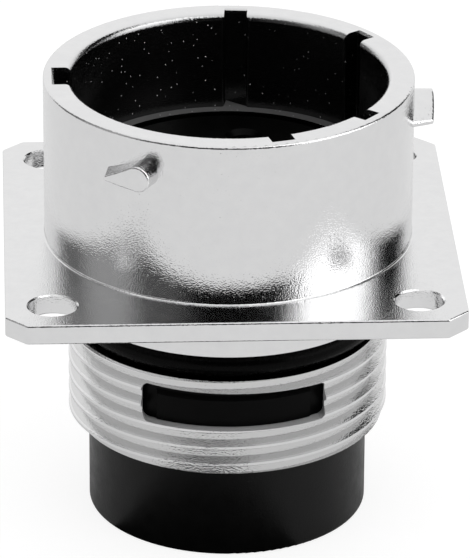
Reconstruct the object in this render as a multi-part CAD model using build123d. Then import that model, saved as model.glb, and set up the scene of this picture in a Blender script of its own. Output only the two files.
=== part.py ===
from build123d import *
import os
from math import radians, sqrt, tan

# Square-flange bayonet receptacle with eight crimp socket contacts.
# The origin lies on the axis, in the rear (mounting) face of the flange.
# +Z points out of the mating mouth and the main keyway lies on -X. Lengths are millimetres.

# Flange
flange_thickness = 1.4
flange_corner_cut = 1.4
flange_corner_round = 0.4
flange_edge_round = 0.15
screw_spacing = 24.61
screw_edge_distance = 3.195
screw_hole_diameter = 3.3
screw_hole_chamfer = 0.1

# Mating barrel
barrel_diameter = 25.4
barrel_height = 11.5
barrel_wall = 1.9
barrel_lip_round = 0.2
barrel_foot_round = 0.3
mouth_depth = 7.0
mouth_edge_round = 0.5

# Keyways, with angles round the axis from +X
keyway_wall = 0.75
keyway_edge_round = 0.2
keyway_floor_round = 0.12
keyway_lead = 0.15
main_keyway_width = 3.0
main_keyway_angle = 180.0
minor_keyway_width = 1.6
minor_keyway_angles = [85.0, 35.0, -40.0, -75.0]

# Bayonet lugs: round nose, slim tail that lies a little lower and ends in a ramp
lug_count = 3
lug_first_angle = -118.5
lug_setback = 2.41
lug_height = 1.35
lug_nose_radius = 0.9
lug_tail_radius = 0.2
lug_tail_reach = 2.25
lug_tail_drop = 0.44
lug_ramp = 0.6
lug_draft = 0.06
lug_edge_round = 0.15
lug_root_depth = 0.3

# Threaded collar with a right-hand thread
thread_diameter = 22.22
thread_pitch = 1.27
thread_depth = 0.56
thread_crest = 0.19
thread_flank_angle = 30.0
thread_start_angle = 7.0
collar_length = 7.2
collar_wall = 0.86
collar_front_chamfer = 0.12
collar_rear_chamfer = 0.5

# Boss that fills the panel cut-out, and the seal groove behind it
boss_step = 0.03
boss_length = 3.25
boss_wall = 1.08
groove_depth = 1.93
web_thickness = 0.8

# Latch windows in the collar
window_width = 12.7
window_sill = 3.48
window_bridge = 0.99
window_corner_round = 0.5
window_draft = 10.5
window_angles = [-90.0, 90.0]

# Seals
o_ring_section = 1.78
o_ring_clearance = 0.02
o_ring_side_gap = 0.04
washer_thickness = 0.5

# Inserts
insert_clearance = 0.08
insert_face_recess = 0.1
insert_step_width = 0.35
insert_step_depth = 0.5
insert_face_chamfer = 0.15
insert_joint_gap = 0.05
rear_insert_recess = 0.8
latch_height = 0.28
latch_sill_gap = 0.05
latch_front_gap = 0.5
latch_side_gap = 1.1

# Wire grommet
grommet_clearance = 0.55
grommet_length = 7.55
grommet_edge_round = 0.25
wire_hole_diameter = 2.1
wire_hole_funnel = 0.4
wire_web_count = 2
wire_web_height = 0.35
wire_web_length = 0.6
wire_web_spacing = 1.6

# Contact layout: one contact on the axis, the others on a circle round it
outer_contact_count = 7
first_contact_angle = 180.0
cavity_clearance = 0.1
cavity_outer_wall = 0.48
axial_clearance = 0.03
pin_diameter = 1.6
pin_entry_clearance = 0.15
pin_entry_chamfer = 0.35
pin_entry_length = 1.35
land_setback = 0.7
land_length = 1.0

# Contact body
tine_wall = 0.35
tine_length = 5.6
tine_slot_width = 0.3
tine_slot_count = 2
clip_seat_step = 0.15
collar_step = 0.3
stop_collar_length = 0.85
wire_bore_diameter = 1.9
wire_bore_depth = 4.8
crimp_wall = 0.5
crimp_length = 5.8
inspection_hole_diameter = 0.7

# Hood over the contact's tines
hood_wall = 0.25
hood_clearance = 0.05
hood_lip = 0.3
hood_press_length = 0.8

# Retention clip round the contact
clip_length = 2.1
clip_band_length = 0.7
clip_wall = 0.18
clip_fit = 0.02
clip_slot_width = 0.5
clip_slot_count = 3
clip_gap = 0.1

# Radii, from the axis outwards
pin_radius = pin_diameter / 2
tine_radius = pin_radius + tine_wall
hood_bore_radius = tine_radius + hood_clearance
hood_radius = hood_bore_radius + hood_wall
clip_seat_radius = hood_bore_radius - clip_seat_step
stop_collar_radius = hood_radius + collar_step
wire_bore_radius = wire_bore_diameter / 2
crimp_radius = wire_bore_radius + crimp_wall
pin_entry_radius = pin_radius + pin_entry_clearance
hood_cavity_radius = hood_radius + cavity_clearance
clip_cavity_radius = stop_collar_radius + cavity_clearance
crimp_cavity_radius = crimp_radius + cavity_clearance
wire_hole_radius = wire_hole_diameter / 2
thread_radius = thread_diameter / 2
boss_radius = thread_radius - boss_step
groove_floor_radius = boss_radius - groove_depth
web_radius = groove_floor_radius - web_thickness
neck_radius = web_radius - insert_clearance
contact_circle_radius = neck_radius - cavity_outer_wall - clip_cavity_radius
pocket_radius = boss_radius - boss_wall
insert_radius = pocket_radius - insert_clearance
rear_bore_radius = thread_radius - collar_wall
rear_insert_radius = rear_bore_radius - insert_clearance
grommet_radius = rear_bore_radius - grommet_clearance
barrel_radius = barrel_diameter / 2
mouth_radius = barrel_radius - barrel_wall
keyway_floor_radius = barrel_radius - keyway_wall
lug_tip_radius = barrel_radius + lug_height

# Levels along the axis, shell first
lip = flange_thickness + barrel_height
ledge = lip - mouth_depth
groove_front = -boss_length
groove_rear = groove_front - o_ring_section - 2 * o_ring_side_gap
collar_rear = groove_rear - collar_length
web_front = groove_front + web_thickness
web_rear = groove_rear - web_thickness
window_floor = collar_rear + window_sill
window_top = groove_rear - window_bridge

# Levels of the inserts and the grommet
insert_face = ledge - insert_face_recess
insert_step = insert_face - insert_step_depth
shoulder = web_front + washer_thickness
neck_end = web_rear + insert_joint_gap
rear_insert_end = collar_rear + rear_insert_recess
grommet_end = rear_insert_end - grommet_length
latch_floor = window_floor + latch_sill_gap
latch_top = window_top - latch_front_gap

# Levels of the contacts, from the land that holds them
land_front = web_rear - land_setback
land_rear = land_front - land_length
clip_rear = land_front + axial_clearance
clip_front = clip_rear + clip_length
clip_band_rear = clip_front - clip_band_length
hood_rear = clip_front + clip_gap
cavity_front = insert_face - pin_entry_length
hood_front = cavity_front - axial_clearance
tine_front = hood_front - hood_lip - axial_clearance
stop_collar_front = land_rear - axial_clearance
crimp_front = stop_collar_front - stop_collar_length
contact_end = crimp_front - crimp_length
wire_bore_end = contact_end + wire_bore_depth
crimp_cavity_end = contact_end - axial_clearance

# Difference below which two radii or two levels count as the same
same = 0.001


def turned(*outline):
    """Solid of revolution about Z through (radius, level) points, closed on itself."""
    return revolve(make_face(Plane.XZ * Polyline(*outline, close=True)), Axis.Z)


def cylinder(radius, top, bottom):
    """Cylinder about Z between two levels."""
    return Pos(0, 0, (top + bottom) / 2) * Cylinder(radius, top - bottom)


def tube(outer_radius, inner_radius, top, bottom):
    """Tube about Z between two levels."""
    return cylinder(outer_radius, top, bottom) - cylinder(inner_radius, top, bottom)


def cone(top_radius, top, bottom_radius, bottom):
    """Cone about Z between two levels."""
    return Pos(0, 0, (top + bottom) / 2) * Cone(bottom_radius, top_radius, top - bottom)


def round_edges(piece, radius):
    """Circular edges of a piece that have this radius."""
    circles = piece.edges().filter_by(GeomType.CIRCLE)
    return circles.filter_by(lambda edge: abs(edge.radius - radius) < same)


def rims(piece, radius, level):
    """Circular edges of a piece that have this radius and lie at this level."""
    edges = round_edges(piece, radius)
    return edges.filter_by(lambda edge: abs(edge.arc_center.Z - level) < same)


def contact_places():
    """Place of every contact: the middle one first, then those on the circle."""
    places = [Pos(0, 0, 0)]
    for number in range(outer_contact_count):
        angle = first_contact_angle + 360 / outer_contact_count * number
        places.append(Rot(0, 0, angle) * Pos(contact_circle_radius, 0, 0))
    return places


# Shell: one die casting


def flange():
    """Square plate with cut corners, soft edges and four screw holes."""
    width = screw_spacing + 2 * screw_edge_distance
    outline = chamfer(Rectangle(width, width).vertices(), flange_corner_cut)
    outline = fillet(outline.vertices(), flange_corner_round)
    plate = extrude(outline, flange_thickness)
    plate = fillet(plate.faces().filter_by(Axis.Z).edges(), flange_edge_round)
    hole = cylinder(screw_hole_diameter / 2, flange_thickness, 0)
    plate -= GridLocations(screw_spacing, screw_spacing, 2, 2) * hole
    return chamfer(round_edges(plate, screw_hole_diameter / 2), screw_hole_chamfer)


def turned_outside():
    """Barrel, boss, groove and collar turned about the axis, without the bores."""
    body = turned(
        (0, lip),
        (barrel_radius, lip),
        (barrel_radius, 0),
        (boss_radius, 0),
        (boss_radius, groove_front),
        (groove_floor_radius, groove_front),
        (groove_floor_radius, groove_rear),
        (thread_radius, groove_rear),
        (thread_radius, collar_rear),
        (0, collar_rear),
    )
    body = fillet(rims(body, barrel_radius, lip), barrel_lip_round)
    body = chamfer(rims(body, thread_radius, groove_rear), collar_front_chamfer)
    return chamfer(rims(body, thread_radius, collar_rear), collar_rear_chamfer)


def thread_groove():
    """Cutter for the thread. It starts behind the collar and runs out in the seal groove."""
    flank_slope = tan(radians(thread_flank_angle))
    root = thread_radius - thread_depth
    outside = thread_radius + thread_crest / 4 / flank_slope
    mouth_half = (thread_pitch - thread_crest / 2) / 2
    root_half = mouth_half - (outside - root) * flank_slope
    start = collar_rear - thread_pitch / 2
    end = (groove_front + groove_rear) / 2
    section = Plane.XZ * Polyline(
        (root, start - root_half),
        (outside, start - mouth_half),
        (outside, start + mouth_half),
        (root, start + root_half),
        close=True,
    )
    path = Pos(0, 0, start) * Helix(thread_pitch, end - start, thread_radius)
    return Rot(0, 0, thread_start_angle) * sweep(make_face(section), path=path, is_frenet=True)


def keyway(width, angle):
    """Outline of one keyway from the axis to its floor."""
    slot = Pos(keyway_floor_radius / 2, 0) * Rectangle(keyway_floor_radius, width)
    return Rot(0, 0, angle) * slot


def keyway_lip(width, angle):
    """Cutter that bevels the lip in front of one keyway's floor."""
    side = keyway_lead * sqrt(2)
    return Rot(0, 0, angle) * Pos(keyway_floor_radius, 0, lip) * Rot(0, 45, 0) * Box(side, width, side)


def keyed_mouth():
    """Cutter for the mouth with its keyways, each with a lead at the lip."""
    outline = Circle(mouth_radius) + keyway(main_keyway_width, main_keyway_angle)
    for angle in minor_keyway_angles:
        outline += keyway(minor_keyway_width, angle)
    middle_radius = (mouth_radius + keyway_floor_radius) / 2
    edge_corners = outline.vertices().filter_by(lambda point: Vector(point).length < middle_radius)
    outline = fillet(edge_corners, keyway_edge_round)
    floor_corners = outline.vertices().filter_by(lambda point: Vector(point).length > middle_radius)
    outline = fillet(floor_corners, keyway_floor_round)
    cutter = Pos(0, 0, ledge) * extrude(outline, mouth_depth)
    cutter += keyway_lip(main_keyway_width, main_keyway_angle)
    for angle in minor_keyway_angles:
        cutter += keyway_lip(minor_keyway_width, angle)
    return cutter


def lug_outline(radius, reach, growth):
    """Teardrop of a lug that stands on +X, in a plane at a distance from the axis."""
    nose = Circle(lug_nose_radius + growth)
    tail = Pos(-reach, -lug_tail_drop) * Circle(lug_tail_radius + growth)
    plane = Plane(origin=(radius, 0, lip - lug_setback), x_dir=(0, 1, 0), z_dir=(1, 0, 0))
    return plane * make_hull(nose.edges() + tail.edges())


def bayonet_lug():
    """One lug on +X, cast with draft and a ramp at its tail; its top follows the barrel."""
    root_reach = lug_tail_reach + lug_ramp
    flat_reach = root_reach + lug_tail_radius
    root_radius = sqrt(barrel_radius**2 - flat_reach**2) - lug_root_depth
    root = lug_outline(root_radius, root_reach, lug_draft)
    tip = lug_outline(lug_tip_radius, lug_tail_reach, 0)
    lug = loft([root, tip]) & cylinder(lug_tip_radius, lip, lip - 2 * lug_setback)
    return fillet(lug.faces().sort_by(Axis.X)[-1].edges(), lug_edge_round)


def window_outline(distance):
    """Outline of a latch window on +X, in a plane at a distance from the axis."""
    edge_distance = sqrt(thread_radius**2 - (window_width / 2) ** 2)
    spread = (distance - edge_distance) * tan(radians(window_draft))
    outline = Rectangle(window_width + 2 * spread, window_top - window_floor)
    outline = fillet(outline.vertices(), window_corner_round)
    middle = (window_top + window_floor) / 2
    return Plane(origin=(distance, 0, middle), x_dir=(0, 1, 0), z_dir=(1, 0, 0)) * outline


def latch_window():
    """Cutter for one latch window on +X, whose ends draw in towards the axis."""
    inside = sqrt(rear_bore_radius**2 - (window_width / 2) ** 2) - collar_wall
    outside = thread_radius + collar_wall
    return loft([window_outline(inside), window_outline(outside)])


def shell():
    """The whole casting: outside and thread first, then mouth, bores and windows."""
    body = turned_outside() + flange()
    body = fillet(rims(body, barrel_radius, flange_thickness), barrel_foot_round)
    body -= thread_groove()
    for number in range(lug_count):
        body += Rot(0, 0, lug_first_angle + 360 / lug_count * number) * bayonet_lug()
    body -= cylinder(mouth_radius, lip, ledge)
    body = fillet(rims(body, mouth_radius, lip), mouth_edge_round)
    body -= keyed_mouth()
    body -= cylinder(pocket_radius, ledge, web_front)
    body -= cylinder(web_radius, web_front, web_rear)
    body -= cylinder(rear_bore_radius, web_rear, collar_rear)
    for angle in window_angles:
        body -= Rot(0, 0, angle) * latch_window()
    return body


# Seals


def neck_o_ring():
    """Round rubber ring on the floor of the groove."""
    centre_radius = groove_floor_radius + o_ring_clearance + o_ring_section / 2
    return Pos(0, 0, (groove_front + groove_rear) / 2) * Torus(centre_radius, o_ring_section / 2)


def insert_seal():
    """Flat washer between the shell's web and the shoulder of the front insert."""
    return tube(insert_radius, web_radius, shoulder, web_front)


# Inserts


def socket_cavity():
    """Cutter for one contact: pin entry with a lead-in, hood bore and room for the clip."""
    cavity = cylinder(pin_entry_radius, insert_face, cavity_front)
    mouth = pin_entry_radius + pin_entry_chamfer
    cavity += cone(mouth, insert_face, pin_entry_radius, insert_face - pin_entry_chamfer)
    cavity += cylinder(hood_cavity_radius, cavity_front, neck_end)
    return cavity + cylinder(clip_cavity_radius, hood_rear, neck_end)


def front_insert():
    """Moulded insert behind the mating face, with a neck through the shell's web."""
    face_radius = insert_radius - insert_step_width
    insert = turned(
        (0, insert_face),
        (face_radius - insert_face_chamfer, insert_face),
        (face_radius, insert_face - insert_face_chamfer),
        (face_radius, insert_step),
        (insert_radius, insert_step),
        (insert_radius, shoulder),
        (neck_radius, shoulder),
        (neck_radius, neck_end),
        (0, neck_end),
    )
    for place in contact_places():
        insert -= place * socket_cavity()
    return insert


def latch():
    """Raised pad on +X that snaps into a window: square at the sill, sloped in front."""
    latch_radius = rear_insert_radius + latch_height
    pad = turned(
        (neck_radius, latch_floor),
        (latch_radius, latch_floor),
        (latch_radius, latch_top - latch_height),
        (rear_insert_radius, latch_top),
        (neck_radius, latch_top),
    )
    slab_width = window_width - 2 * latch_side_gap
    slab = Box(latch_radius, slab_width, latch_top - latch_floor)
    return pad & Pos(latch_radius, 0, (latch_top + latch_floor) / 2) * slab


def retention_cavity():
    """Cutter for one contact in the rear insert. A land stays between clip and collar."""
    cavity = cylinder(clip_cavity_radius, web_rear, land_front)
    cavity += cylinder(hood_cavity_radius, land_front, land_rear)
    return cavity + cylinder(clip_cavity_radius, land_rear, rear_insert_end)


def rear_insert():
    """Moulded insert that holds the contacts and latches into the collar's windows."""
    insert = cylinder(rear_insert_radius, web_rear, rear_insert_end)
    for angle in window_angles:
        insert += Rot(0, 0, angle) * latch()
    for place in contact_places():
        insert -= place * retention_cavity()
    return insert


def wire_passage():
    """Cutter for one wire: room for the crimp barrel, then a hole with sealing webs."""
    passage = cylinder(crimp_cavity_radius, rear_insert_end, crimp_cavity_end)
    passage += cylinder(wire_hole_radius, crimp_cavity_end, grommet_end)
    mouth = wire_hole_radius + wire_hole_funnel
    passage += cone(wire_hole_radius, grommet_end + wire_hole_funnel, mouth, grommet_end)
    for number in range(wire_web_count):
        top = crimp_cavity_end - wire_web_length - wire_web_spacing * number
        passage -= tube(wire_hole_radius, wire_hole_radius - wire_web_height, top, top - wire_web_length)
    return passage


def wire_grommet():
    """Rubber block that seals the wires, bonded to the back of the rear insert."""
    grommet = cylinder(grommet_radius, rear_insert_end, grommet_end)
    grommet = fillet(rims(grommet, grommet_radius, grommet_end), grommet_edge_round)
    for place in contact_places():
        grommet -= place * wire_passage()
    return grommet


# Contacts


def contact_body():
    """Turned socket: slotted tines in front, stop collar in the middle, crimp barrel behind."""
    body = turned(
        (0, tine_front),
        (tine_radius, tine_front),
        (tine_radius, hood_rear + hood_press_length),
        (hood_bore_radius, hood_rear + hood_press_length),
        (hood_bore_radius, hood_rear),
        (clip_seat_radius, hood_rear),
        (clip_seat_radius, stop_collar_front),
        (stop_collar_radius, stop_collar_front),
        (stop_collar_radius, crimp_front),
        (crimp_radius, crimp_front),
        (crimp_radius, contact_end),
        (0, contact_end),
    )
    body -= cylinder(pin_radius, tine_front, tine_front - tine_length)
    body -= cylinder(wire_bore_radius, wire_bore_end, contact_end)
    slot = Pos(0, 0, tine_front - tine_length / 2) * Box(2 * tine_radius, tine_slot_width, tine_length)
    for number in range(tine_slot_count):
        body -= Rot(0, 0, 180 / tine_slot_count * number) * slot
    inspection_hole = Rot(0, 90, 0) * Cylinder(inspection_hole_diameter / 2, crimp_radius)
    return body - Pos(crimp_radius / 2, 0, wire_bore_end - inspection_hole_diameter) * inspection_hole


def contact_hood():
    """Thin sleeve pressed over the tines, drawn in at the front to guide the pin."""
    hood = tube(hood_radius, hood_bore_radius, hood_front - hood_lip, hood_rear)
    return hood + tube(hood_radius, pin_entry_radius, hood_front, hood_front - hood_lip)


def contact_clip():
    """Split spring band whose tines flare to the rear and catch in front of the land."""
    inner = clip_seat_radius + clip_fit
    flare = stop_collar_radius - clip_wall
    clip = turned(
        (inner, clip_front),
        (inner + clip_wall, clip_front),
        (inner + clip_wall, clip_band_rear),
        (flare + clip_wall, clip_rear),
        (flare, clip_rear),
        (inner, clip_band_rear),
    )
    tine_gap = Box(stop_collar_radius, clip_slot_width, clip_length)
    for number in range(clip_slot_count):
        turn = Rot(0, 0, 360 / clip_slot_count * number)
        clip -= turn * Pos(stop_collar_radius / 2, 0, clip_band_rear - clip_length / 2) * tine_gap
    split = Box(stop_collar_radius, clip_slot_width, 2 * clip_length)
    return clip - Pos(stop_collar_radius / 2, 0, clip_front) * split


def write(piece, name):
    """Write one piece under its node name."""
    export_step(piece, f"parts/{name}.step")


os.makedirs("parts", exist_ok=True)
write(shell(), "shell")
write(neck_o_ring(), "neck_o_ring")
write(insert_seal(), "insert_seal")
write(front_insert(), "front_insert")
write(rear_insert(), "rear_insert")
write(wire_grommet(), "wire_grommet")
body = contact_body()
hood = contact_hood()
clip = contact_clip()
for number, place in enumerate(contact_places(), start=1):
    write(place * body, f"contact_body_{number}")
    write(place * hood, f"contact_hood_{number}")
    write(place * clip, f"contact_clip_{number}")
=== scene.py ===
"""Looks of a square-flange bayonet receptacle.

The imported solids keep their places. This script draws the curved faces of a copy of the
casting round, gives every piece its finish, and lights the whole on a pale table. The
frame's unit is the metre; the fields of the classes are in millimetres.
"""

from __future__ import annotations

import logging
import math
from dataclasses import dataclass

import bpy
from mathutils import Matrix, Vector

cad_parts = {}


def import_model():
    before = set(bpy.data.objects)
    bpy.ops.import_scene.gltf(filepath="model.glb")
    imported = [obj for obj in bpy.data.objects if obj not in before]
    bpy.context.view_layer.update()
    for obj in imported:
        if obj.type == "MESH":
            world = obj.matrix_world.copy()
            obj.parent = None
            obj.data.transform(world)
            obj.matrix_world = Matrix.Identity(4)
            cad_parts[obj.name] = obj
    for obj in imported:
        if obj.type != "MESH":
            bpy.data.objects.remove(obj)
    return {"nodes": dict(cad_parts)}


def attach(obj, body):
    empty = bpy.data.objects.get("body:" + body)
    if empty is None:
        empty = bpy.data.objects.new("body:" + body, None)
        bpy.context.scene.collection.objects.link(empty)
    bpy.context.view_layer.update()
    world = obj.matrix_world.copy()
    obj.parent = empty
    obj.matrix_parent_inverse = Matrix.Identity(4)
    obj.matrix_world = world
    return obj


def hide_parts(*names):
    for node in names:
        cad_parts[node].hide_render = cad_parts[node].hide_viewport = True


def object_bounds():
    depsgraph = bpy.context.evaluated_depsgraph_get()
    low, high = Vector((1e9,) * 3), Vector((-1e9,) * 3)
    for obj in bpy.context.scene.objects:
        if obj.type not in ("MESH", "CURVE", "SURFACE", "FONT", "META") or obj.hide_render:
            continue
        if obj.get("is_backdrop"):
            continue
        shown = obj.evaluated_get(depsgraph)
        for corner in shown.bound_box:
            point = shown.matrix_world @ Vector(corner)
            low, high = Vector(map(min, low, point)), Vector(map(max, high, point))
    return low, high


log = logging.getLogger("receptacle")

MM = 0.001  # one millimetre in metres
CAMERA_TURN = -2.775  # degrees round Z from the front, -Y, to the camera's side
TRIMMED = "trimmed"  # face attribute of the casting: 1 where a tool trimmed it before plating
WELD_DISTANCE = 0.0002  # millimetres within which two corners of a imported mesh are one
CLOUD_LOW, CLOUD_HIGH = 0.3, 0.7  # span that the values of a cloudy noise mostly fill
WAVE_PHASE = 20.0  # Blender's wave texture takes this times its scaled coordinate as radians


# Colours and shader nodes


def linear(hex_colour: str) -> tuple[float, float, float, float]:
    """Turn an sRGB hex colour into the linear colour that shaders use.

    Args:
        hex_colour: Six hex digits, such as "d9d8d4".

    Returns:
        Red, green, blue and alpha, linear, with alpha 1.
    """
    channels = []
    for start in (0, 2, 4):
        value = int(hex_colour[start : start + 2], 16) / 255
        low = value <= 0.04045  # the straight part of the sRGB curve
        channels.append(value / 12.92 if low else ((value + 0.055) / 1.055) ** 2.4)
    return channels[0], channels[1], channels[2], 1.0


def add_node(
    tree: bpy.types.NodeTree,
    kind: str,
    settings: dict[str, object] | None = None,
    **inputs: object,
) -> bpy.types.Node:
    """Add one shader node with its settings, values and links.

    Args:
        tree: Node tree that gets the node.
        kind: Blender's name of the node type.
        settings: Attributes of the node, such as its operation.
        **inputs: Values or output sockets by input name, with _ for a space and
            input_N for the socket at place N.

    Returns:
        The new node.
    """
    node = tree.nodes.new(kind)
    for name, value in (settings or {}).items():
        setattr(node, name, value)
    for name, value in inputs.items():
        if name.startswith("input_"):
            socket = node.inputs[int(name.removeprefix("input_"))]
        else:
            socket = node.inputs[name.replace("_", " ")]
        if isinstance(value, bpy.types.NodeSocket):
            tree.links.new(value, socket)
        else:
            socket.default_value = value
    return node


def per_metre(size_mm: float) -> float:
    """Scale that gives a texture grains of a size in millimetres on coordinates in metres."""
    return 1 / (size_mm * MM)


# Finishes


@dataclass(frozen=True)
class Finish:
    """What every finish has: a name, a colour in two shades, its gloss and its grain.

    Colour and gloss follow clouds of the size patch_mm.
    """

    name: str
    light: str
    dark: str
    metallic: float
    roughness_low: float
    roughness_high: float
    specular: float
    patch_mm: float
    grain_mm: float
    grain_depth_mm: float

    def build(self) -> bpy.types.Material:
        """Make the material: cloudy colour and roughness, and a fine grain in the surface.

        Returns:
            The material, ready to be given to pieces.
        """
        material = bpy.data.materials.new(self.name)
        material.use_nodes = True
        tree = material.node_tree
        shader = tree.nodes["Principled BSDF"]
        shader.inputs["Metallic"].default_value = self.metallic
        shader.inputs["Specular IOR Level"].default_value = self.specular
        place = add_node(tree, "ShaderNodeTexCoord").outputs["Object"]
        clouds = add_node(
            tree,
            "ShaderNodeTexNoise",
            Vector=place,
            Scale=per_metre(self.patch_mm),
            Detail=4.0,
            Roughness=0.6,
        ).outputs["Fac"]
        tree.links.new(self.colour(tree, place, clouds), shader.inputs["Base Color"])
        tree.links.new(self.roughness(tree, place, clouds), shader.inputs["Roughness"])
        tree.links.new(self.relief(tree, place), shader.inputs["Normal"])
        return material

    def colour(
        self,
        tree: bpy.types.NodeTree,
        place: bpy.types.NodeSocket,
        clouds: bpy.types.NodeSocket,
    ) -> bpy.types.NodeSocket:
        """Colour that follows the clouds.

        Args:
            tree: Node tree of the material.
            place: Object coordinates.
            clouds: Cloud pattern of the finish.

        Returns:
            Output socket with the colour.
        """
        shade = add_node(
            tree,
            "ShaderNodeMix",
            {"data_type": "RGBA"},
            input_0=clouds,
            input_6=linear(self.dark),
            input_7=linear(self.light),
        )
        return shade.outputs[2]

    def roughness(
        self,
        tree: bpy.types.NodeTree,
        place: bpy.types.NodeSocket,
        clouds: bpy.types.NodeSocket,
    ) -> bpy.types.NodeSocket:
        """Roughness that follows the clouds.

        Args:
            tree: Node tree of the material.
            place: Object coordinates.
            clouds: Cloud pattern of the finish.

        Returns:
            Output socket with the roughness.
        """
        spread = add_node(
            tree,
            "ShaderNodeMapRange",
            Value=clouds,
            From_Min=CLOUD_LOW,
            From_Max=CLOUD_HIGH,
            To_Min=self.roughness_low,
            To_Max=self.roughness_high,
        )
        return spread.outputs[0]

    def relief(
        self,
        tree: bpy.types.NodeTree,
        place: bpy.types.NodeSocket,
    ) -> bpy.types.NodeSocket:
        """Fine grain of the surface.

        Args:
            tree: Node tree of the material.
            place: Object coordinates.

        Returns:
            Output socket with the bumped normal.
        """
        grain = add_node(
            tree,
            "ShaderNodeTexNoise",
            Vector=place,
            Scale=per_metre(self.grain_mm),
            Detail=3.0,
            Roughness=0.55,
        )
        bump = add_node(
            tree,
            "ShaderNodeBump",
            Height=grain.outputs["Fac"],
            Strength=1.0,
            Distance=self.grain_depth_mm * MM,
        )
        return bump.outputs["Normal"]


@dataclass(frozen=True)
class Zone:
    """Room inside a radius round Z and between two levels, in millimetres.

    Its mark fades out over a length below its upper level.
    """

    radius: float
    low: float
    high: float
    fade: float

    def mask(self, tree: bpy.types.NodeTree, place: bpy.types.NodeSocket) -> bpy.types.NodeSocket:
        """Mark the zone in a material.

        Args:
            tree: Node tree of the material.
            place: Object coordinates.

        Returns:
            Output socket that gives 1 in the zone and 0 elsewhere.
        """
        parts = add_node(tree, "ShaderNodeSeparateXYZ", Vector=place)
        level = parts.outputs["Z"]
        across = add_node(tree, "ShaderNodeCombineXYZ", X=parts.outputs["X"], Y=parts.outputs["Y"])
        reach = add_node(
            tree,
            "ShaderNodeVectorMath",
            {"operation": "LENGTH"},
            input_0=across.outputs[0],
        )
        near = add_node(
            tree,
            "ShaderNodeMath",
            {"operation": "LESS_THAN"},
            input_0=reach.outputs["Value"],
            input_1=self.radius * MM,
        )
        above = add_node(
            tree,
            "ShaderNodeMath",
            {"operation": "GREATER_THAN"},
            input_0=level,
            input_1=self.low * MM,
        )
        below = add_node(
            tree,
            "ShaderNodeMapRange",
            Value=level,
            From_Min=(self.high - self.fade) * MM,
            From_Max=self.high * MM,
            To_Min=1.0,
            To_Max=0.0,
        )
        between = add_node(
            tree,
            "ShaderNodeMath",
            {"operation": "MULTIPLY"},
            input_0=above.outputs[0],
            input_1=below.outputs[0],
        )
        mark = add_node(
            tree,
            "ShaderNodeMath",
            {"operation": "MULTIPLY"},
            input_0=near.outputs[0],
            input_1=between.outputs[0],
        )
        return mark.outputs[0]


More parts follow.
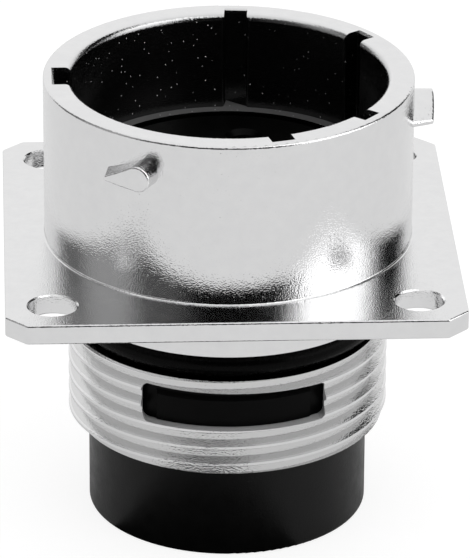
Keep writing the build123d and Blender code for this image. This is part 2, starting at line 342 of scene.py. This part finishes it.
@dataclass(frozen=True)
class PlatedCasting(Finish):
    """Nickel plating on a casting: a fine grain, with a slow swell of the cast skin below it.

    Deep in the mouth the colour is darkened with painted shade, but for small nodules of the cast
    skin, and the roots of the thread are darkened a little with painted shade. Faces that were
    trimmed before plating are dull, and the painted shade of the mouth is lighter on them.
    """

    swell_mm: float
    swell_depth_mm: float
    mouth: Zone
    painted_mouth_shade_colour: str
    mouth_roughness: float
    thread: Zone
    painted_root_shade_colour: str
    nodule_spacing_mm: float
    nodule_radius_mm: float
    nodule_height_mm: float
    trimmed_roughness: float
    trimmed_shade_lift: float

    def colour(
        self,
        tree: bpy.types.NodeTree,
        place: bpy.types.NodeSocket,
        clouds: bpy.types.NodeSocket,
    ) -> bpy.types.NodeSocket:
        """Colour that follows the clouds, with painted shade in the roots of the thread and in the
        mouth between the nodules.

        Args:
            tree: Node tree of the material.
            place: Object coordinates.
            clouds: Cloud pattern of the finish.

        Returns:
            Output socket with the colour.
        """
        trimmed = add_node(tree, "ShaderNodeAttribute", {"attribute_name": TRIMMED}).outputs["Fac"]
        # Painted shade: the roots of the thread are darkened, except on trimmed faces.
        root_shade_mask = add_node(
            tree,
            "ShaderNodeMath",
            {"operation": "SUBTRACT"},
            input_0=self.thread.mask(tree, place),
            input_1=trimmed,
        )
        root_shaded = add_node(
            tree,
            "ShaderNodeMix",
            {"data_type": "RGBA"},
            input_0=root_shade_mask.outputs[0],
            input_6=super().colour(tree, place, clouds),
            input_7=linear(self.painted_root_shade_colour),
        )
        # Painted shade: the mouth is darkened to its shade colour, except on the nodules, and less
        # on trimmed faces.
        between = add_node(
            tree,
            "ShaderNodeMath",
            {"operation": "SUBTRACT"},
            input_0=self.mouth.mask(tree, place),
            input_1=self.nodules(tree, place),
        )
        painted_mouth_shade = add_node(
            tree,
            "ShaderNodeMath",
            {"operation": "MULTIPLY_ADD"},
            input_0=trimmed,
            input_1=-self.trimmed_shade_lift,
            input_2=between.outputs[0],
        )
        mixed = add_node(
            tree,
            "ShaderNodeMix",
            {"data_type": "RGBA"},
            input_0=painted_mouth_shade.outputs[0],
            input_6=root_shaded.outputs[2],
            input_7=linear(self.painted_mouth_shade_colour),
        )
        return mixed.outputs[2]

    def nodules(
        self,
        tree: bpy.types.NodeTree,
        place: bpy.types.NodeSocket,
    ) -> bpy.types.NodeSocket:
        """Low domes, strewn over the mouth.

        Args:
            tree: Node tree of the material.
            place: Object coordinates.

        Returns:
            Output socket that gives 1 on top of a nodule and 0 between them.
        """
        cells = add_node(
            tree,
            "ShaderNodeTexVoronoi",
            {"feature": "F1"},
            Vector=place,
            Scale=per_metre(self.nodule_spacing_mm),
        )
        dome = add_node(
            tree,
            "ShaderNodeMapRange",
            {"interpolation_type": "SMOOTHSTEP"},
            Value=cells.outputs["Distance"],
            From_Max=self.nodule_radius_mm / self.nodule_spacing_mm,
            To_Min=1.0,
            To_Max=0.0,
        )
        kept = add_node(
            tree,
            "ShaderNodeMath",
            {"operation": "MULTIPLY"},
            input_0=dome.outputs[0],
            input_1=self.mouth.mask(tree, place),
        )
        return kept.outputs[0]

    def roughness(
        self,
        tree: bpy.types.NodeTree,
        place: bpy.types.NodeSocket,
        clouds: bpy.types.NodeSocket,
    ) -> bpy.types.NodeSocket:
        """Roughness that follows the clouds, except in the mouth and on trimmed faces.

        Args:
            tree: Node tree of the material.
            place: Object coordinates.
            clouds: Cloud pattern of the finish.

        Returns:
            Output socket with the roughness.
        """
        outside_and_mouth = add_node(
            tree,
            "ShaderNodeMix",
            {"data_type": "FLOAT"},
            input_0=self.mouth.mask(tree, place),
            input_2=super().roughness(tree, place, clouds),
            input_3=self.mouth_roughness,
        )
        trimmed = add_node(tree, "ShaderNodeAttribute", {"attribute_name": TRIMMED})
        mixed = add_node(
            tree,
            "ShaderNodeMix",
            {"data_type": "FLOAT"},
            input_0=trimmed.outputs["Fac"],
            input_2=outside_and_mouth.outputs[0],
            input_3=self.trimmed_roughness,
        )
        return mixed.outputs[0]

    def relief(
        self,
        tree: bpy.types.NodeTree,
        place: bpy.types.NodeSocket,
    ) -> bpy.types.NodeSocket:
        """Grain of the plating on the swell of the casting.

        Args:
            tree: Node tree of the material.
            place: Object coordinates.

        Returns:
            Output socket with the bumped normal.
        """
        swell = add_node(
            tree,
            "ShaderNodeTexNoise",
            Vector=place,
            Scale=per_metre(self.swell_mm),
            Detail=2.0,
            Roughness=0.5,
        )
        slow = add_node(
            tree,
            "ShaderNodeBump",
            Height=swell.outputs["Fac"],
            Strength=1.0,
            Distance=self.swell_depth_mm * MM,
        )
        grain = add_node(
            tree,
            "ShaderNodeTexNoise",
            Vector=place,
            Scale=per_metre(self.grain_mm),
            Detail=1.0,
            Roughness=0.35,
        )
        fine = add_node(
            tree,
            "ShaderNodeBump",
            Height=grain.outputs["Fac"],
            Normal=slow.outputs["Normal"],
            Strength=1.0,
            Distance=self.grain_depth_mm * MM,
        )
        domes = add_node(
            tree,
            "ShaderNodeBump",
            Height=self.nodules(tree, place),
            Normal=fine.outputs["Normal"],
            Strength=1.0,
            Distance=self.nodule_height_mm * MM,
        )
        return domes.outputs["Normal"]


@dataclass(frozen=True)
class TurnedMetal(Finish):
    """Metal with tool rings round Z, as turning or drawing leaves them.

    Real rings are about ring_mm apart. They are drawn 2 pi times as far apart, to show.
    """

    ring_mm: float

    def relief(
        self,
        tree: bpy.types.NodeTree,
        place: bpy.types.NodeSocket,
    ) -> bpy.types.NodeSocket:
        """Fine rings along Z.

        Args:
            tree: Node tree of the material.
            place: Object coordinates.

        Returns:
            Output socket with the bumped normal.
        """
        rings = add_node(
            tree,
            "ShaderNodeTexWave",
            {"wave_type": "BANDS", "bands_direction": "Z"},
            Vector=place,
            Scale=per_metre(self.ring_mm) / WAVE_PHASE,
            Distortion=0.6,
            Detail=2.0,
            Detail_Scale=per_metre(self.grain_mm),
        )
        bump = add_node(
            tree,
            "ShaderNodeBump",
            Height=rings.outputs["Fac"],
            Strength=1.0,
            Distance=self.grain_depth_mm * MM,
        )
        return bump.outputs["Normal"]


# Zinc die casting, nickel plated without polish: pale grey, with a fine grain that breaks up
# the edges of what it mirrors. The real grain is about 0.05 mm; it is drawn at 0.1 mm to show.
# The nodules are drawn larger than they are, for the same reason.
SATIN_NICKEL = PlatedCasting(
    name="satin_nickel_plating_on_cast_zinc",
    light="e6e6e6",
    dark="dbdbdc",
    metallic=1.0,
    roughness_low=0.06,
    roughness_high=0.1,
    specular=0.5,
    patch_mm=0.9,
    grain_mm=0.1,
    grain_depth_mm=0.017,
    swell_mm=0.9,
    swell_depth_mm=0.006,
    mouth=Zone(radius=12.2, low=5.85, high=12.87, fade=0.4),
    # Painted shade: the mouth's walls are darkened to this colour, where shade falls in the
    # recess.
    painted_mouth_shade_colour="676767",
    mouth_roughness=0.2,
    # Painted shade: the roots of the thread, inside this zone, are darkened to this colour.
    thread=Zone(radius=10.98, low=-12.35, high=-5.05, fade=0.02),
    painted_root_shade_colour="d2d2d2",
    nodule_spacing_mm=0.5,
    nodule_radius_mm=0.08,
    nodule_height_mm=0.05,
    trimmed_roughness=0.9,
    # Painted shade: the mouth's painted shade is lifted by this much on trimmed faces, such as the
    # ledge.
    trimmed_shade_lift=0.18,
)

# Nitrile rubber, moulded smooth: black with a faint, clear highlight. Its grain, like that of
# the plastic and the silicone below, is drawn about two pixels wide, coarser than it is.
NITRILE_RUBBER = Finish(
    name="smooth_black_nitrile_rubber",
    light="040404",
    dark="020202",
    metallic=0.0,
    roughness_low=0.2,
    roughness_high=0.32,
    specular=0.05,
    patch_mm=0.5,
    grain_mm=0.12,
    grain_depth_mm=0.003,
)

# Glass-filled thermoplastic, moulded: black with a faint sheen and the grain of the mould.
MOULDED_PLASTIC = Finish(
    name="moulded_black_thermoplastic",
    light="050505",
    dark="020202",
    metallic=0.0,
    roughness_low=0.3,
    roughness_high=0.45,
    specular=0.06,
    patch_mm=0.8,
    grain_mm=0.13,
    grain_depth_mm=0.006,
)

# Silicone rubber, moulded: charcoal black, with a dry skin that gives a soft, wide sheen.
SILICONE_RUBBER = Finish(
    name="matte_black_silicone_rubber",
    light="040404",
    dark="020202",
    metallic=0.0,
    roughness_low=0.3,
    roughness_high=0.42,
    specular=0.2,
    patch_mm=1.1,
    grain_mm=0.14,
    grain_depth_mm=0.01,
)

# Brass, turned on a lathe and gold plated: warm yellow, bright, with faint tool rings.
GOLD_ON_TURNED_BRASS = TurnedMetal(
    name="gold_plating_on_turned_brass",
    light="e6bf6b",
    dark="d8ac52",
    metallic=1.0,
    roughness_low=0.16,
    roughness_high=0.26,
    specular=0.5,
    patch_mm=0.4,
    grain_mm=0.3,
    grain_depth_mm=0.0008,
    ring_mm=0.06,
)

# Stainless steel tube, drawn thin: cool grey, satin, with faint draw rings.
DRAWN_STAINLESS = TurnedMetal(
    name="drawn_stainless_steel",
    light="c6c5c3",
    dark="b4b3b1",
    metallic=1.0,
    roughness_low=0.24,
    roughness_high=0.36,
    specular=0.5,
    patch_mm=0.4,
    grain_mm=0.3,
    grain_depth_mm=0.0006,
    ring_mm=0.09,
)

# Stainless spring strip, rolled: darker grey than the tube, even and satin.
ROLLED_SPRING_STRIP = Finish(
    name="rolled_stainless_spring_strip",
    light="b9b8b5",
    dark="a6a5a2",
    metallic=1.0,
    roughness_low=0.26,
    roughness_high=0.38,
    specular=0.5,
    patch_mm=0.3,
    grain_mm=0.05,
    grain_depth_mm=0.001,
)


# Selection and modelling helpers


def deselect_all() -> None:
    """Leave object mode with nothing selected."""
    if bpy.context.object and bpy.context.object.mode != "OBJECT":
        bpy.ops.object.mode_set(mode="OBJECT")
    bpy.ops.object.select_all(action="DESELECT")


def take_up(piece: bpy.types.Object) -> None:
    """Make a piece the only selected one, and the active one."""
    deselect_all()
    piece.select_set(True)
    bpy.context.view_layer.objects.active = piece


def apply_all(piece: bpy.types.Object) -> None:
    """Apply every modifier of a piece, first to last."""
    take_up(piece)
    for modifier in list(piece.modifiers):
        bpy.ops.object.modifier_apply(modifier=modifier.name)


def merged_copy(node: bpy.types.Object, name: str) -> bpy.types.Object:
    """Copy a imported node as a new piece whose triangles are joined.

    Args:
        node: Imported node, which stays as it is.
        name: Name of the new piece.

    Returns:
        The new piece, which rides on nothing yet.
    """
    piece = node.copy()
    piece.data = node.data.copy()
    piece.name = name
    piece.data.name = name
    piece.parent = None
    for key in list(piece.keys()):
        del piece[key]
    bpy.context.scene.collection.objects.link(piece)
    take_up(piece)
    if piece.data.has_custom_normals:
        bpy.ops.mesh.customdata_custom_splitnormals_clear()
    bpy.ops.object.mode_set(mode="EDIT")
    bpy.ops.mesh.select_all(action="SELECT")
    bpy.ops.mesh.remove_doubles(threshold=WELD_DISTANCE * MM)
    bpy.ops.object.mode_set(mode="OBJECT")
    return piece


def dress(
    pieces: list[bpy.types.Object],
    material: bpy.types.Material,
) -> list[bpy.types.Object]:
    """Give pieces one material in place of what they have, and return them."""
    for piece in pieces:
        piece.data.materials.clear()
        piece.data.materials.append(material)
    return pieces


# Sub-assemblies


@dataclass(frozen=True)
class Arc:
    """Quarter round that runs as a ring about Z. Lengths in millimetres.

    Outward and upward are 1 or -1, for the side of its centre that it lies on. It is drawn
    at a share of its radius.
    """

    centre_radius: float
    centre_level: float
    radius: float
    outward: int
    upward: int
    hollow: bool = False
    share: float = 1.0
    tolerance: float = 0.01

    def normal(self, point: Vector) -> Vector | None:
        """Normal of the arc at a point.

        Args:
            point: Point in millimetres.

        Returns:
            The normal, or None where the point isn't on the arc.
        """
        along = point.xy.length
        across, rise = along - self.centre_radius, point.z - self.centre_level
        if abs(math.hypot(across, rise) - self.radius) > self.tolerance:
            return None
        if min(across * self.outward, rise * self.upward) < -self.tolerance:
            return None
        radial = Vector((point.x / along, point.y / along, 0))
        normal = (radial * across + Vector((0, 0, rise))).normalized()
        return -normal if self.hollow else normal

    def drawn(self, point: Vector) -> Vector:
        """Place of a point of the arc, once the arc has its drawn radius.

        Args:
            point: Point on the arc, in millimetres.

        Returns:
            The point, moved towards the corner that the arc rounds.
        """
        along = point.xy.length
        corner = self.centre_radius + self.outward * self.radius
        radial = corner + (along - corner) * self.share
        level = self.centre_level + self.upward * self.radius
        across = Vector((point.x, point.y, 0)) * (radial / along)
        return across + Vector((0, 0, level + (point.z - level) * self.share))


@dataclass
class PlatedShell:
    """The casting, with the facets of its curved faces shaded round.

    Its arcs are the round of the barrel's lip and the fillet at the barrel's foot. Its ledge
    and the cut faces of its windows are trimmed. Lengths in millimetres, angle in degrees.
    """

    finish: PlatedCasting = SATIN_NICKEL
    arcs: tuple[Arc, ...] = (
        Arc(centre_radius=12.5, centre_level=12.7, radius=0.2, outward=1, upward=1),
        Arc(
            centre_radius=13.0,
            centre_level=1.7,
            radius=0.3,
            outward=-1,
            upward=-1,
            hollow=True,
            share=0.5,
        ),
    )
    smooth_below: float = 26.0
    ledge_level: float = 5.9
    ledge_radius: float = 11.5
    ledge_least_rise: float = 0.9  # of its normal, along Z
    window_reach: float = 7.3
    window_low: float = -9.0
    window_high: float = -5.9
    window_most_front: float = 0.25  # of a cut face's normal, along Y
    tolerance: float = 0.05

    def is_trimmed(self, middle: Vector, normal: Vector) -> bool:
        """Tell whether a face is one that a tool trimmed.

        Args:
            middle: Middle of the face, in millimetres.
            normal: Its outward normal.

        Returns:
            True on the ledge in the mouth and on the cut faces of the windows.
        """
        if abs(middle.z - self.ledge_level) < self.tolerance:
            return normal.z > self.ledge_least_rise and middle.xy.length < self.ledge_radius
        beside_middle = abs(middle.x) < self.window_reach
        between_rims = self.window_low < middle.z < self.window_high
        return beside_middle and between_rims and abs(normal.y) < self.window_most_front

    def mark_trimmed(self, piece: bpy.types.Object) -> None:
        """Write the face attribute that the finish reads."""
        marks = piece.data.attributes.new(TRIMMED, "FLOAT", "FACE")
        for face, mark in zip(piece.data.polygons, marks.data, strict=True):
            mark.value = float(self.is_trimmed(face.center / MM, face.normal))

    def follow_arcs(self, piece: bpy.types.Object) -> None:
        """Draw the rounded rings, with the corner normals of their true arcs."""
        mesh = piece.data
        normals = [corner.vector.copy() for corner in mesh.corner_normals]
        for arc in self.arcs:
            known = [arc.normal(vertex.co / MM) for vertex in mesh.vertices]
            faces = [
                face
                for face in mesh.polygons
                if all(known[index] is not None for index in face.vertices)
            ]
            for face in faces:
                for corner, index in zip(face.loop_indices, face.vertices, strict=True):
                    normals[corner] = known[index]
            for vertex, normal in zip(mesh.vertices, known, strict=True):
                if normal is not None:
                    vertex.co = arc.drawn(vertex.co / MM) * MM
            log.info("arc at level %.1f: %d faces", arc.centre_level, len(faces))
        mesh.normals_split_custom_set(normals)

    def build(self, nodes: dict[str, bpy.types.Object]) -> list[bpy.types.Object]:
        """Shade a copy of the casting round, and plate it.

        Args:
            nodes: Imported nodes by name.

        Returns:
            The piece that stands for the casting.
        """
        piece = merged_copy(nodes["shell"], "plated_shell")
        bpy.ops.object.shade_smooth_by_angle(angle=math.radians(self.smooth_below))
        weigh = piece.modifiers.new("flat_faces_first", "WEIGHTED_NORMAL")
        weigh.keep_sharp = True
        apply_all(piece)
        self.follow_arcs(piece)
        self.mark_trimmed(piece)
        dress([piece], self.finish.build())
        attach(piece, "root")
        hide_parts("shell")
        return [piece]


@dataclass
class Seals:
    """O-ring in the neck and flat washer under the insert."""

    finish: Finish = NITRILE_RUBBER

    def build(self, nodes: dict[str, bpy.types.Object]) -> list[bpy.types.Object]:
        """Give both seals their rubber.

        Args:
            nodes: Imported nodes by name.

        Returns:
            The dressed seals.
        """
        return dress([nodes["neck_o_ring"], nodes["insert_seal"]], self.finish.build())


@dataclass
class InsertStack:
    """Both moulded inserts and the wire grommet behind them."""

    plastic: Finish = MOULDED_PLASTIC
    rubber: Finish = SILICONE_RUBBER

    def build(self, nodes: dict[str, bpy.types.Object]) -> list[bpy.types.Object]:
        """Give the inserts their plastic and the grommet its rubber.

        Args:
            nodes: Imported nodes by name.

        Returns:
            The dressed inserts and grommet.
        """
        inserts = dress([nodes["front_insert"], nodes["rear_insert"]], self.plastic.build())
        return inserts + dress([nodes["wire_grommet"]], self.rubber.build())


@dataclass
class ContactSet:
    """Eight sockets with their hoods and retention clips."""

    count: int = 8
    body: TurnedMetal = GOLD_ON_TURNED_BRASS
    hood: TurnedMetal = DRAWN_STAINLESS
    clip: Finish = ROLLED_SPRING_STRIP

    def build(self, nodes: dict[str, bpy.types.Object]) -> list[bpy.types.Object]:
        """Give each contact's three pieces their metals.

        Args:
            nodes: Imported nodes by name.

        Returns:
            The dressed pieces of the contacts.
        """
        finishes = {
            "contact_body": self.body,
            "contact_hood": self.hood,
            "contact_clip": self.clip,
        }
        dressed = []
        for kind, finish in finishes.items():
            pieces = [nodes[f"{kind}_{number}"] for number in range(1, self.count + 1)]
            dressed += dress(pieces, finish.build())
        return dressed


# Studio


def show_in_mirrors(piece: bpy.types.Object, shade: float) -> None:
    """Make a piece of the stage glow evenly, seen in reflections alone.

    Args:
        piece: Card of the stage, or its disc of painted shadow.
        shade: Its brightness, where 1 is white.
    """
    material = bpy.data.materials.new(piece.name)
    material.use_nodes = True
    tree = material.node_tree
    tree.nodes.clear()
    light = add_node(tree, "ShaderNodeEmission", Color=(shade, shade, shade, 1.0), Strength=1.0)
    add_node(tree, "ShaderNodeOutputMaterial", Surface=light.outputs["Emission"])
    dress([piece], material)
    piece.visible_camera = False
    piece.visible_diffuse = False
    piece.visible_shadow = False
    piece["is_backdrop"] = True


@dataclass
class Viewpoint:
    """Camera that stands where the photograph's camera stood.

    Lengths in millimetres, angles in degrees. It looks at a point beside the axis: aim_right
    to the right of it, at the height aim_level.
    """

    azimuth: float = CAMERA_TURN
    elevation: float = 24.795
    roll: float = 0.324
    distance: float = 364.26
    aim_right: float = 0.497
    aim_level: float = -2.523
    focal_pixels: float = 5244.9
    image_width: int = 470
    image_height: int = 558
    sensor: float = 36.0
    clip_near: float = 10.0
    clip_far: float = 10000.0

    def build(self) -> None:
        """Make the camera and make it the scene's."""
        turn, rise = math.radians(self.azimuth), math.radians(self.elevation)
        reach = math.cos(rise)
        back = Vector((math.sin(turn) * reach, -math.cos(turn) * reach, math.sin(rise)))
        right = (-back).cross(Vector((0, 0, 1))).normalized()
        aim = right * self.aim_right + Vector((0, 0, self.aim_level))
        data = bpy.data.cameras.new("camera")
        data.sensor_width = self.sensor
        long_side = max(self.image_width, self.image_height)
        data.lens = self.focal_pixels * self.sensor / long_side
        data.clip_start, data.clip_end = self.clip_near * MM, self.clip_far * MM
        camera = bpy.data.objects.new("camera", data)
        bpy.context.scene.collection.objects.link(camera)
        level = (-back).to_track_quat("-Z", "Y").to_matrix().to_4x4()
        tilt = Matrix.Rotation(math.radians(self.roll), 4, "Z")
        camera.matrix_world = Matrix.Translation((aim + back * self.distance) * MM) @ level @ tilt
        bpy.context.scene.camera = camera


@dataclass(frozen=True)
class Card:
    """Upright card of the studio, seen in reflections alone.

    Lengths in millimetres. Its angle runs round Z in degrees, from the camera's side of the
    object to the right. Its shade is its brightness, where 1 is white.
    """

    name: str
    angle: float
    distance: float
    width: float
    bottom: float
    height: float
    shade: float

    def build(self) -> None:
        """Stand the card up, facing the axis."""
        turn = math.radians(self.angle + CAMERA_TURN)
        deselect_all()
        bpy.ops.mesh.primitive_plane_add(
            size=1,
            location=(
                math.sin(turn) * self.distance * MM,
                -math.cos(turn) * self.distance * MM,
                (self.bottom + self.height / 2) * MM,
            ),
            rotation=(math.pi / 2, 0, turn),
        )
        card = bpy.context.object
        card.name = self.name
        card.scale = (self.width * MM, self.height * MM, 1)
        bpy.ops.object.transform_apply(location=True, rotation=True, scale=True)
        show_in_mirrors(card, self.shade)


@dataclass
class Studio:
    """White room with a pale table, a soft lamp, the cards that the metal mirrors, and a dark disc
    of painted shadow that it mirrors as well.

    Lengths in millimetres, angles in degrees as for the cards. A value that ends in seen is
    what the camera's own rays meet, and the one before it is what all other light meets.
    """

    sky_strength: float = 0.9
    table_size: float = 3000.0
    table_glow: float = 0.1
    table_glow_seen: float = 0.8
    table_albedo: float = 0.78
    table_albedo_seen: float = 0.28
    # Painted shadow: a dark disc on the table before the object's foot, seen in reflections alone,
    # in place of the object's shadow there.
    shadow_radius: float = 10.0
    shadow_distance: float = 14.6
    mat_angle: float = -12.0
    shadow_lift: float = 0.05
    shadow_corners: int = 96
    shadow_shade: float = 0.01
    lamp_power: float = 0.12
    lamp_size: float = 220.0
    lamp_place: tuple[float, float, float] = (160.0, -180.0, 260.0)
    cards: tuple[Card, ...] = (
        Card("camera_side_flag", 8, distance=250, width=330, bottom=-15, height=300, shade=0.003),
        Card("left_front_wall", -42, distance=200, width=125, bottom=20, height=240, shade=0.1),
        Card("left_wall", -79, distance=200, width=138, bottom=20, height=240, shade=0.42),
        Card("left_rear_wall", -113, distance=200, width=107, bottom=20, height=260, shade=0.18),
        Card("right_softbox", 69, distance=200, width=178, bottom=20, height=260, shade=2.0),
        Card("right_rear_wall", 120, distance=200, width=130, bottom=20, height=260, shade=0.01),
    )

    def sky(self) -> None:
        """White room: plain white to the camera and in reflections, a little darker as a light."""
        world = bpy.data.worlds.new("white_room")
        bpy.context.scene.world = world
        world.use_nodes = True
        tree = world.node_tree
        tree.nodes.clear()
        path = add_node(tree, "ShaderNodeLightPath")
        looked_at = add_node(
            tree,
            "ShaderNodeMath",
            {"operation": "MAXIMUM"},
            input_0=path.outputs["Is Camera Ray"],
            input_1=path.outputs["Is Glossy Ray"],
        )
        strength = add_node(
            tree,
            "ShaderNodeMapRange",
            Value=looked_at.outputs[0],
            To_Min=self.sky_strength,
            To_Max=1.0,
        )
        white = add_node(
            tree,
            "ShaderNodeBackground",
            Color=(1, 1, 1, 1),
            Strength=strength.outputs[0],
        )
        add_node(tree, "ShaderNodeOutputWorld", Surface=white.outputs[0])

    def table(self, level: float) -> None:
        """Pale table under the object, which shows a soft shadow and is clear from below.

        Args:
            level: Height of the table, in metres.
        """
        deselect_all()
        bpy.ops.mesh.primitive_plane_add(size=self.table_size * MM, location=(0, 0, level))
        floor = bpy.context.object
        floor.name = "table"
        bpy.ops.object.transform_apply(location=True, rotation=True, scale=True)
        material = bpy.data.materials.new("white_table")
        material.use_nodes = True
        tree = material.node_tree
        tree.nodes.clear()
        path = add_node(tree, "ShaderNodeLightPath")
        glow = add_node(
            tree,
            "ShaderNodeMapRange",
            Value=path.outputs["Is Camera Ray"],
            To_Min=self.table_glow,
            To_Max=self.table_glow_seen,
        )
        albedo = add_node(
            tree,
            "ShaderNodeMapRange",
            Value=path.outputs["Is Camera Ray"],
            To_Min=self.table_albedo,
            To_Max=self.table_albedo_seen,
        )
        light = add_node(tree, "ShaderNodeEmission", Color=(1, 1, 1, 1), Strength=glow.outputs[0])
        paper = add_node(tree, "ShaderNodeBsdfDiffuse", Color=albedo.outputs[0])
        both = add_node(
            tree,
            "ShaderNodeAddShader",
            input_0=light.outputs[0],
            input_1=paper.outputs[0],
        )
        one_sided = add_node(
            tree,
            "ShaderNodeMixShader",
            input_0=add_node(tree, "ShaderNodeNewGeometry").outputs["Backfacing"],
            input_1=both.outputs[0],
            input_2=add_node(tree, "ShaderNodeBsdfTransparent").outputs[0],
        )
        add_node(tree, "ShaderNodeOutputMaterial", Surface=one_sided.outputs[0])
        dress([floor], material)
        floor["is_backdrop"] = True

    def painted_shadow(self, level: float) -> None:
        """Painted shadow: a dark disc before the foot of the object, a hair above the table, that
        the metal mirrors where the object's shadow would lie.

        Args:
            level: Height of the table, in metres.
        """
        turn = math.radians(self.mat_angle + CAMERA_TURN)
        deselect_all()
        bpy.ops.mesh.primitive_circle_add(
            vertices=self.shadow_corners,
            radius=self.shadow_radius * MM,
            fill_type="NGON",
            location=(
                math.sin(turn) * self.shadow_distance * MM,
                -math.cos(turn) * self.shadow_distance * MM,
                level + self.shadow_lift * MM,
            ),
        )
        painted_shadow = bpy.context.object
        painted_shadow.name = "painted_shadow_disc"
        bpy.ops.object.transform_apply(location=True, rotation=True, scale=True)
        show_in_mirrors(painted_shadow, self.shadow_shade)

    def lamp(self) -> None:
        """Large soft lamp above, to the right of the camera, that faces the object."""
        data = bpy.data.lights.new("soft_lamp", "AREA")
        data.shape = "RECTANGLE"
        data.size = data.size_y = self.lamp_size * MM
        data.energy = self.lamp_power
        lamp = bpy.data.objects.new("soft_lamp", data)
        bpy.context.scene.collection.objects.link(lamp)
        lamp.location = Vector(self.lamp_place) * MM
        lamp.rotation_mode = "QUATERNION"
        lamp.rotation_quaternion = lamp.location.to_track_quat("Z", "Y")

    def build(self, level: float) -> None:
        """Build the whole studio round the object.

        Args:
            level: Height of the table, in metres.
        """
        self.sky()
        self.table(level)
        self.painted_shadow(level)
        self.lamp()
        for card in self.cards:
            card.build()
        bpy.context.scene.view_settings.view_transform = "Standard"


def main() -> None:
    """Dress the receptacle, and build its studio."""
    logging.basicConfig(level=logging.INFO, format="%(message)s")
    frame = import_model()
    cad_low, cad_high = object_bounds()
    nodes = frame["nodes"]
    Viewpoint().build()
    for assembly in (PlatedShell(), Seals(), InsertStack(), ContactSet()):
        for piece in assembly.build(nodes):
            log.info("%s: %s", piece.name, piece.active_material.name)
    Studio().build(cad_low.z)


if __name__ == "__main__":
    main()
